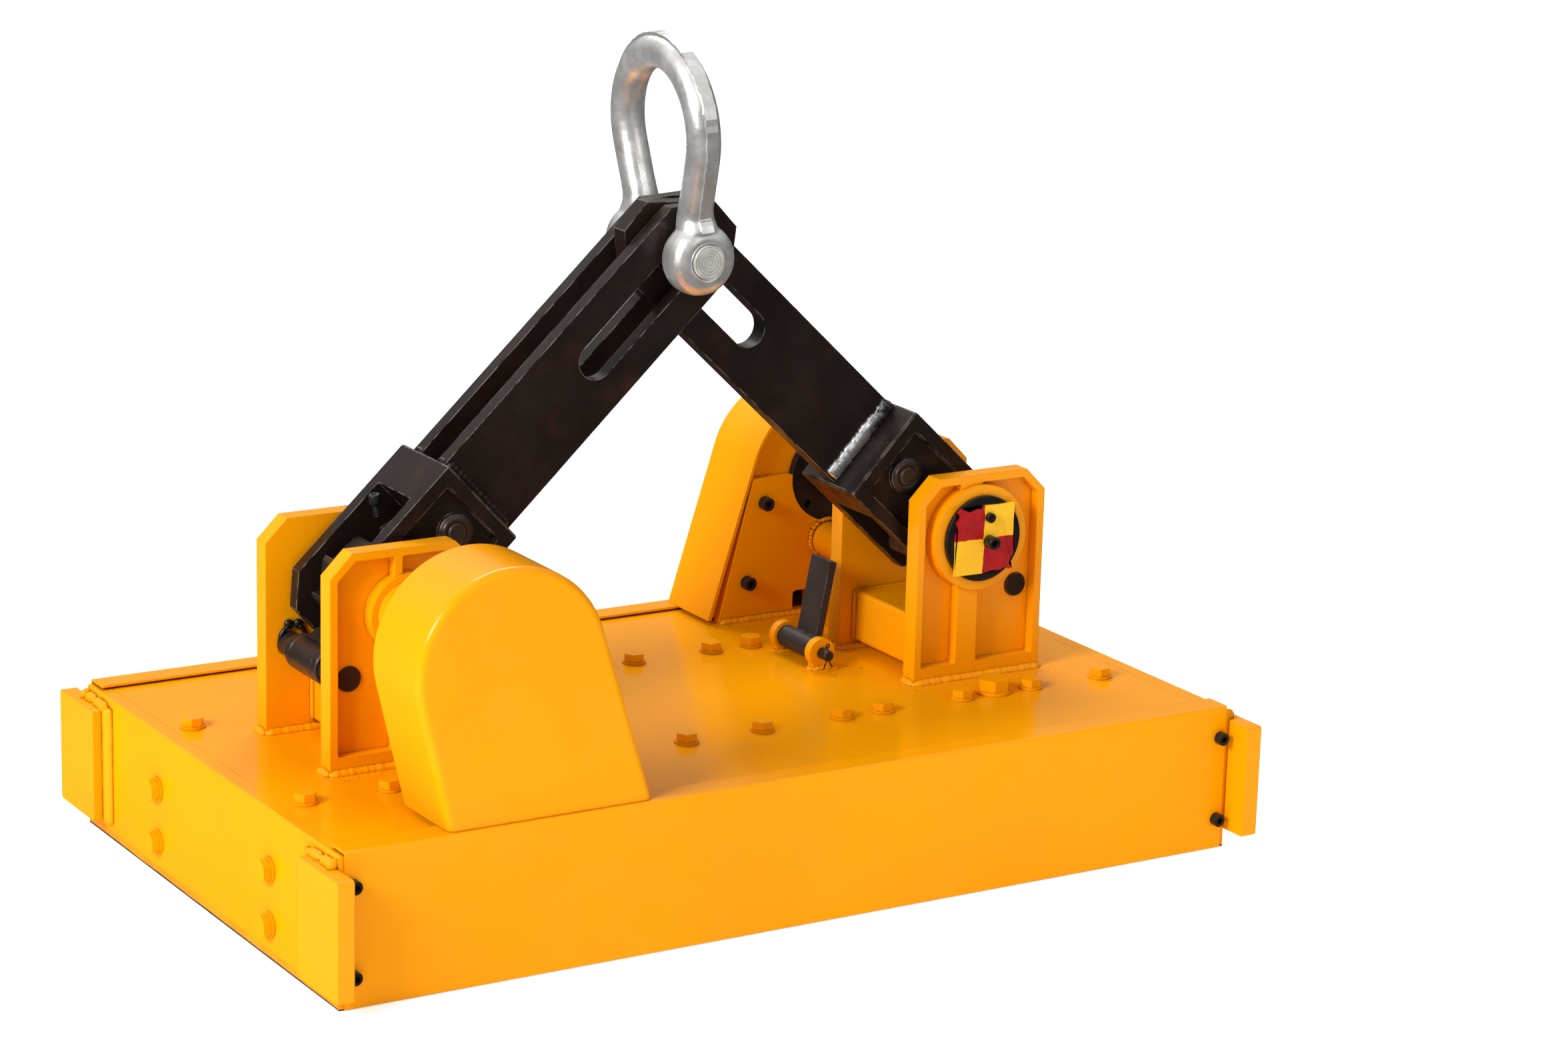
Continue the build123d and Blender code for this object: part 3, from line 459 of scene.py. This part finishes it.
def material_of(name, slot):
    if name == "shackle_pin":
        return MATERIALS["pin"]
    if name == "lock_lever":
        return MATERIALS["lever"]
    if name == "bottom_plate":
        return MATERIALS["base"]
    if name in SMALL:
        return MATERIALS["small_yellow"]
    if any(word in name for word in CAST):
        return MATERIALS["cast_yellow"]
    return MATERIALS[SLOT_MATERIALS[slot]]


def dress_nodes():
    slots = {part["node"]: part["material_slot"] for part in frame["record"]["subparts"]}
    for name, node in NODES.items():
        if slots[name] == "indicator_paint":
            continue
        node.data.materials.clear()
        node.data.materials.append(material_of(name, slots[name]))


# ---- places on the stands and links ----
def turned(point, side):
    """From the left stand's place to the given side's: the right stand is half a turn round."""
    return (point[0] * -side, point[1] * -side, point[2])


def on_link(side, s, y, n):
    """From link coordinates (s along the arm, n across it) to the place on the left or right link."""
    angle = radians(ARM_ANGLE)
    x = -SHAFT.x + s * cos(angle) - n * sin(angle)
    z = SHAFT.z + s * sin(angle) + n * cos(angle)
    return turned((x, y, z), side)


SIDES = ((-1, "left"), (1, "right"))


# ---- painted welds ----
def make_stand_welds():
    rng = random.Random(11)
    for side, label in SIDES:
        bm = bmesh.new()
        low = PLATE_TOP
        for y0, y1 in ((-101, -74), (74, 101)):
            outline = [(-492, y0, low), (-303, y0, low), (-303, y1, low), (-492, y1, low), (-492, y0, low)]
            add_bead(bm, [turned(p, side) for p in outline], 6.5, rng)
        for y in (-73.5, 73.5):
            outline = [(-325, y, 188), (-325, y, 252), (-431, y, 252), (-431, y, 188)]
            add_bead(bm, [turned(p, side) for p in outline], 3.0, rng)
        for y in (-255, -240):
            line = [(-364, y, low), (-226, y, low)]
            add_bead(bm, [turned(p, side) for p in line], 5.5, rng, rough=0.14)
        rim = []
        for k in range(33):
            angle = 2 * pi * k / 32
            rim.append(turned((-386 + 25 * cos(angle), -241, 275 + 25 * sin(angle)), side))
        add_bead(bm, rim, 4.5, rng, rough=0.30)
        make_piece(label + "_stand_welds", bm, MATERIALS["bead_yellow"], "root")


def make_box_welds():
    """The wings' welds to the end plates, and the lever lugs' welds to the top plate."""
    rng = random.Random(23)
    bm = bmesh.new()
    for side_x in (-1, 1):
        for side_y in (-1, 1):
            x = side_x * 603
            rings = []
            for k in range(30):
                swell = rng.uniform(-0.6, 0.6)
                section = ((599, 276), (604 + swell, 277.5), (608.5 + swell, 284), (609, 290), (599, 291.5))
                rings.append([Vector((side_x * u, side_y * v, 21 + 5 * k)) for u, v in section])
            add_band(bm, 5, rings)
            over = [(x, side_y * 286, 163), (x, side_y * 320, 165), (x, side_y * 346, 165)]
            add_bead(bm, over, 7.0, rng, 9.0, 0.03)
            knob = [(x, side_y * 344, 165), (x, side_y * 352, 165)]
            add_bead(bm, knob, 9.5, rng, 6.0, 0.03)
    for y0, y1 in ((11, 23), (97, 109)):
        lug = [(225, y0, PLATE_TOP), (253, y0, PLATE_TOP), (253, y1, PLATE_TOP), (225, y1, PLATE_TOP),
               (225, y0, PLATE_TOP)]
        add_bead(bm, lug, 4.5, rng)
    make_piece("box_welds", bm, MATERIALS["bead_yellow"], "root")


def make_spatter():
    """Drops of weld metal under the paint, close to the welded feet."""
    rng = random.Random(31)
    bm = bmesh.new()
    spots = ((-492, -100, 190, 60), (302, -100, 190, 90), (302, 75, 190, 60), (225, 10, 40, 60),
             (225, 240, 140, 60))
    for x, y, width, count in spots:
        for number in range(count):
            at = Vector((x + rng.uniform(-14, width + 14), y + rng.gauss(-8, 14), PLATE_TOP))
            size = rng.uniform(0.5, 1.5)
            profile = [(size, -0.2), (size * 0.85, size * 0.45), (size * 0.4, size * 0.75)]
            add_ring(bm, at, (rng.uniform(-0.3, 0.3), rng.uniform(-0.3, 0.3), 1), profile, sides=8)
    make_piece("weld_spatter", bm, MATERIALS["bead_yellow"], "root")


# ---- arm welds, rings and screws ----
def make_link_welds():
    rng = random.Random(41)
    bm = bmesh.new()
    rings = []
    for k in range(39):
        n = -57 + 3 * k
        start, end = 158 + rng.uniform(-1, 1), 181 + rng.uniform(-1.2, 1.2)
        rise = rng.uniform(-0.5, 0.5)
        section = ((start, 12), (start + 3, 16 + rise), (start + 11, 18.5 - rise), (end - 4, 16.5 + rise),
                   (end, 12))
        rings.append([Vector(on_link(1, along, y, n)) for along, y in section])
    add_band(bm, 5, rings)
    make_piece("right_arm_weld", bm, MATERIALS["weld"], "right_link")
    bm = bmesh.new()
    add_bead(bm, [on_link(1, 166, -14, n) for n in (-57, 57)], 8.0, rng, 8.0, 0.15)
    add_bead(bm, [on_link(1, 164, y, 60) for y in (-13, 13)], 4.5, rng)
    make_piece("right_arm_back_weld", bm, MATERIALS["dark"], "right_link")
    bm = bmesh.new()
    for y in (-38, 38):
        add_bead(bm, [on_link(-1, 165, y, n) for n in (-57, 57)], 6.0, rng, 8.0, 0.15)
    for y in (-29, 29):
        add_bead(bm, [on_link(-1, 163, y - 8, 60), on_link(-1, 163, y + 8, 60)], 4.0, rng)
    make_piece("left_arm_welds", bm, MATERIALS["dark"], "left_link")


def make_pin_rings():
    """Retaining rings round the pawl pins, and circlips on the cross pins."""
    for side, label in SIDES:
        bm = bmesh.new()
        for way in (-1, 1):
            seat = on_link(side, 112, way * 58.0, 0)
            profile = [(12.0, 0.2), (21.0, 0.2), (21.5, 0.8), (21.0, 1.6),
                       (18.0, 1.8), (18.0, 3.0), (17.3, 3.6), (12.0, 3.6)]
            add_ring(bm, seat, (0, way * -side, 0), profile, closed=True)
        make_piece(label + "_pawl_pin_rings", bm, MATERIALS["turned"], label + "_link")
        bm = bmesh.new()
        for way in (-1, 1):
            x, z = -CROSS_PIN.x, CROSS_PIN.z
            for start in (106, 68):
                tab = Vector((x + 19.0 * cos(radians(start)), way * 73.0, z + 19.0 * sin(radians(start))))
                ends = [turned(tab + Vector((0, shift, 0)), side) for shift in (-1.8, 1.8)]
                add_tube(bm, [Vector(p) for p in ends], (5.8, 5.8), 14)
            points = []
            for k in range(41):
                angle = radians(110 + 314 * k / 40)
                at = (x + 16.5 * cos(angle), way * 73.0, z + 16.5 * sin(angle))
                points.append(Vector(turned(at, side)))
            add_tube(bm, points, [2.8] * len(points), 10)
        make_piece(label + "_circlips", bm, MATERIALS["oxide"], "root")


def make_block_screw():
    """The set screw that stands on its return spring in the left block's upper opening."""
    bm = bmesh.new()
    foot, top = Vector(on_link(-1, 72, 18, 49.4)), Vector(on_link(-1, 80, 18, 62))
    axis = (top - foot).normalized()
    add_ring(bm, top, axis, [(6.6, 0), (6.8, 1), (6.8, 11), (6.0, 12), (3.4, 12), (3.4, 6), (0.6, 5)],
             hexed=(4, 5))
    add_tube(bm, [foot - axis * 2, top], (2.6, 2.6), 12)
    side = axis.orthogonal().normalized()
    other = axis.cross(side)
    coil = []
    for k in range(12 * 5):
        angle = 2 * pi * k / 12
        coil.append(foot - axis * 1 + axis * k * 0.24 + (side * cos(angle) + other * sin(angle)) * 4.0)
    add_tube(bm, coil, [0.9] * len(coil), 6)
    make_piece("block_set_screw", bm, MATERIALS["oxide"], "left_link")


def make_split_pin():
    bm = bmesh.new()
    y = -1.5
    x, z = middle_mm("lever_pin").x, middle_mm("lever_pin").z
    for spread, length in ((-7, 17), (6, 15)):
        leg = [Vector((x, y, z + 12)), Vector((x + spread * 0.15, y, z)),
               Vector((x + spread * 0.3, y - 1, z - 8)), Vector((x + spread, y - 3, z - length))]
        add_tube(bm, leg, [0.9] * 4, 8)
    head = [Vector((x + 2.6 * cos(a * pi / 8), y, z + 12 + 2.6 * sin(a * pi / 8))) for a in range(17)]
    add_tube(bm, head, [0.9] * 17, 8)
    make_piece("lever_split_pin", bm, MATERIALS["oxide"], "root")


# ---- turning signs: the plate's ragged outline and its two screws ----
SIGN_OUTLINE = (
    (-43.5, 8), (-40, 14), (-42.5, 24), (-39, 33), (-41.5, 38), (-36, 42), (-28, 41), (-24, 37), (-14, 40),
    (-6, 40), (-4.5, 43.5), (20, 42.5), (43, 43.5), (42, 20), (42.5, -12), (43.5, -22), (39, -30), (37, -35),
    (42.5, -41), (37, -42), (34, -38), (24, -42), (12, -41), (1, -43), (-3, -43.5), (-43.5, -43),
    (-42.5, -20),
)


def make_sign(side, label):
    """Cut by hand from sheet. The face looks to -Y on the right stand and to +Y on the left."""
    node = label + "_indicator_plate"
    low, high = box_mm(node)
    middle = (low + high) / 2
    front, back = (low.y, high.y) if side > 0 else (high.y, low.y)
    bm = bmesh.new()
    faces = []
    for y in (front, back):
        ring = [bm.verts.new((middle.x + side * u, y, middle.z + v)) for u, v in SIGN_OUTLINE]
        faces.append(ring)
    count = len(SIGN_OUTLINE)
    for j in range(count):
        bm.faces.new((faces[0][j], faces[0][(j + 1) % count], faces[1][(j + 1) % count], faces[1][j]))
    bm.faces.new(faces[0])
    bm.faces.new(list(reversed(faces[1])))
    bmesh.ops.triangulate(bm, faces=[f for f in bm.faces if len(f.verts) > 4])
    paint = indicator_paint(node + "_paint", node, side)
    plate = make_piece(label + "_turning_sign", bm, paint, label + "_shaft", smooth=False)
    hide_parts(node)
    bm = bmesh.new()
    add_cap_screw(bm, (middle.x + side * 6, front, middle.z - 3), (0, -side, 0), 8.0, 15.0)
    add_cap_screw(bm, (middle.x + side * 5.5, front, middle.z + 27.5), (0, -side, 0), 6.2, 6.0)
    make_piece(label + "_sign_screws", bm, MATERIALS["oxide"], label + "_shaft")


# ---- shackle forging ----
BOW_LEAN = -3.5
BOW_TUBE = 20.5
CROWN_R, CROWN_TOP = 90.0, 236.4      # of the bow's centre line, above the pin
FLARE = 18.0                          # the legs' lean out from the eyes, in degrees
BEND_R, LEG_Y = 60.0, 64.5
NECK_Z, NECK_LENGTH, NECK_SWELL = 30.0, 42.0, 6.0
EYE_R, EYE_Y0, EYE_Y1 = 43.5, 46.0, 93.0
PIN_BORE = 20.8


def bow_line():
    """Points of the bow's centre line from the front eye over the crown to the back eye."""
    flare = radians(FLARE)
    centre_z = CROWN_TOP - CROWN_R
    touch = Vector((CROWN_R * cos(flare), centre_z - CROWN_R * sin(flare)))
    run = (touch.x - BEND_R * (1 - cos(flare)) - LEG_Y) / sin(flare)
    low = touch - Vector((sin(flare), cos(flare))) * run
    bend = Vector((LEG_Y + BEND_R, low.y - BEND_R * sin(flare)))
    half = [Vector((LEG_Y + 3.0, 30)), Vector((LEG_Y + 1.5, 38))]
    half += [bend + Vector((-cos(flare * k / 5), sin(flare * k / 5))) * BEND_R for k in range(6)]
    half += [low.lerp(touch, k / 4) for k in range(1, 4)]
    crown_start, crown_end = -flare, pi / 2
    for k in range(15):
        angle = crown_start + (crown_end - crown_start) * k / 14
        half.append(Vector((CROWN_R * cos(angle), centre_z + CROWN_R * sin(angle))))
    back = [Vector((-p.x, p.y)) for p in reversed(half[:-1])]
    return [Vector((0, -p.x, p.y)) for p in half + back]


def bow_radius(point):
    """The bar's radius, which swells towards the eyes."""
    near = max(0.0, 1.0 - (point.z - NECK_Z) / NECK_LENGTH)
    return BOW_TUBE + NECK_SWELL * near * near


def lean(point):
    """From shackle coordinates about the pin to its place."""
    angle = radians(BOW_LEAN)
    return Vector((point.x * cos(angle) + point.z * sin(angle), point.y,
                   PIN.z + point.z * cos(angle) - point.x * sin(angle)))


def make_shackle():
    line = bow_line()
    radii = [bow_radius(point) for point in line]
    bm = bmesh.new()
    add_tube(bm, line, radii, 32)
    for way in (-1, 1):
        y0, y1 = way * EYE_Y0, way * EYE_Y1
        profile = [(PIN_BORE, EYE_Y0), (PIN_BORE, EYE_Y1 - 1), (PIN_BORE + 2, EYE_Y1), (29, EYE_Y1 - 0.5),
                   (36, EYE_Y1 - 4), (41, EYE_Y1 - 10), (EYE_R, EYE_Y1 - 19), (EYE_R, EYE_Y0 + 15),
                   (40, EYE_Y0 + 6), (34, EYE_Y0 + 1), (28, EYE_Y0)]
        add_ring(bm, (0, 0, 0), (0, way, 0), profile, closed=True, sides=48)
    for vertex in bm.verts:
        vertex.co = lean(vertex.co)
    bow = make_piece("shackle_forging", bm, MATERIALS["zinc"], "shackle_bow")
    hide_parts("shackle_bow")
    fuse = bow.modifiers.new("fuse", "REMESH")
    fuse.mode = "VOXEL"
    fuse.voxel_size = 1.8 * MM
    fuse.use_smooth_shade = True
    soften = bow.modifiers.new("soften", "SMOOTH")
    soften.factor = 0.5
    soften.iterations = 10


def make_shackle_seam():
    """The trimmed flash of the forging: an uneven flat strip down the outside of the bow."""
    rng = random.Random(53)
    line = bow_line()
    stops = []
    for a, b in zip(line, line[1:]):
        count = max(1, round((b - a).length / 6))
        stops += [a.lerp(b, k / count) for k in range(count)]
    stops.append(line[-1])
    rings = []
    for k, point in enumerate(stops):
        along = (stops[min(k + 1, len(stops) - 1)] - stops[max(k - 1, 0)]).normalized()
        out = along.cross(Vector((1, 0, 0)))
        out = out if out.dot(point - Vector((0, 0, 120))) > 0 else -out
        skin = bow_radius(point)
        height = skin + rng.uniform(1.8, 2.5)
        left, right = rng.uniform(7.0, 8.5), rng.uniform(7.0, 8.5)
        corner = [Vector((-left, 0, 0)) + out * height, Vector((right, 0, 0)) + out * height,
                  Vector((right, 0, 0)) + out * (skin - 5), Vector((-left, 0, 0)) + out * (skin - 5)]
        rings.append([lean(point + c) for c in corner])
    bm = bmesh.new()
    add_band(bm, 4, rings)
    make_piece("shackle_seam", bm, MATERIALS["seam"], "shackle_bow", smooth=False)


# ---- floor, light and colour ----
def make_stage():
    s = Shader("pale_floor")
    color = s.mix(s.noise(2.0, 3.0), (0.93, 0.93, 0.93), (0.95, 0.95, 0.95))
    floor_paint = s.finish(color, s.ramp(s.noise(9.0), 0.3, 0.7, 0.7, 0.8), s.bump(s.noise(80.0), 0.05, 0.2),
                           specular=0.1)
    s.surface.inputs["Emission Color"].default_value = (1.0, 1.0, 1.0, 1.0)
    s.surface.inputs["Emission Strength"].default_value = 0.60
    mesh = bpy.data.meshes.new("floor")
    size, depth = 30.0, 0.0005
    corners = [(-size, -size, -depth), (size, -size, -depth), (size, size, -depth), (-size, size, -depth)]
    mesh.from_pydata(corners, [], [(0, 1, 2, 3)])
    floor = bpy.data.objects.new("floor", mesh)
    bpy.context.scene.collection.objects.link(floor)
    mesh.materials.append(floor_paint)
    floor.visible_glossy = False


def add_area_light(name, place, aim, size, power):
    light = bpy.data.lights.new(name, "AREA")
    light.shape = "RECTANGLE"
    light.size, light.size_y = size
    light.energy = power
    lamp = bpy.data.objects.new(name, light)
    bpy.context.scene.collection.objects.link(lamp)
    lamp.location = place
    lamp.rotation_euler = (Vector(aim) - Vector(place)).to_track_quat("-Z", "Y").to_euler()


def make_world():
    """A white studio that mirrors as darker walls below a bright ceiling."""
    world = bpy.data.worlds.new("studio")
    world.use_nodes = True
    tree = world.node_tree
    tree.nodes.clear()
    rays = tree.nodes.new("ShaderNodeLightPath")
    place = tree.nodes.new("ShaderNodeTexCoord")
    split = tree.nodes.new("ShaderNodeSeparateXYZ")
    ceiling = tree.nodes.new("ShaderNodeMapRange")
    ceiling.interpolation_type = "SMOOTHSTEP"
    for socket, number in (("From Min", 0.0), ("From Max", 0.8), ("To Min", 0.06), ("To Max", 0.85)):
        ceiling.inputs[socket].default_value = number
    tree.links.new(place.outputs["Generated"], split.inputs["Vector"])
    tree.links.new(split.outputs["Z"], ceiling.inputs["Value"])
    backdrop = tree.nodes.new("ShaderNodeMapRange")
    backdrop.inputs["To Min"].default_value = 0.44
    backdrop.inputs["To Max"].default_value = 1.05
    tree.links.new(rays.outputs["Is Camera Ray"], backdrop.inputs["Value"])
    choose = tree.nodes.new("ShaderNodeMix")
    tree.links.new(rays.outputs["Is Glossy Ray"], choose.inputs["Factor"])
    tree.links.new(backdrop.outputs["Result"], choose.inputs[2])
    tree.links.new(ceiling.outputs["Result"], choose.inputs[3])
    shine = tree.nodes.new("ShaderNodeBackground")
    tree.links.new(choose.outputs[0], shine.inputs["Strength"])
    out = tree.nodes.new("ShaderNodeOutputWorld")
    tree.links.new(shine.outputs["Background"], out.inputs["Surface"])
    shine.inputs["Color"].default_value = (1.0, 1.0, 1.0, 1.0)
    bpy.context.scene.world = world


def make_light():
    make_world()
    middle = (0, 0, 0.3)
    add_area_light("key_light", (-4.0, -1.3, 2.6), middle, (1.6, 1.6), 205)
    add_area_light("fill_light", (1.2, -3.6, 2.2), middle, (2.2, 1.6), 10)
    add_area_light("back_light", (0.8, 2.4, 3.6), middle, (2.6, 1.4), 105)
    bpy.context.scene.view_settings.view_transform = "Standard"


make_camera()
make_light()
make_stage()
dress_nodes()
make_stand_welds()
make_box_welds()
make_spatter()
make_link_welds()
make_pin_rings()
make_block_screw()
make_split_pin()
for stand_side, stand in SIDES:
    make_sign(stand_side, stand)
make_shackle()
make_shackle_seam()
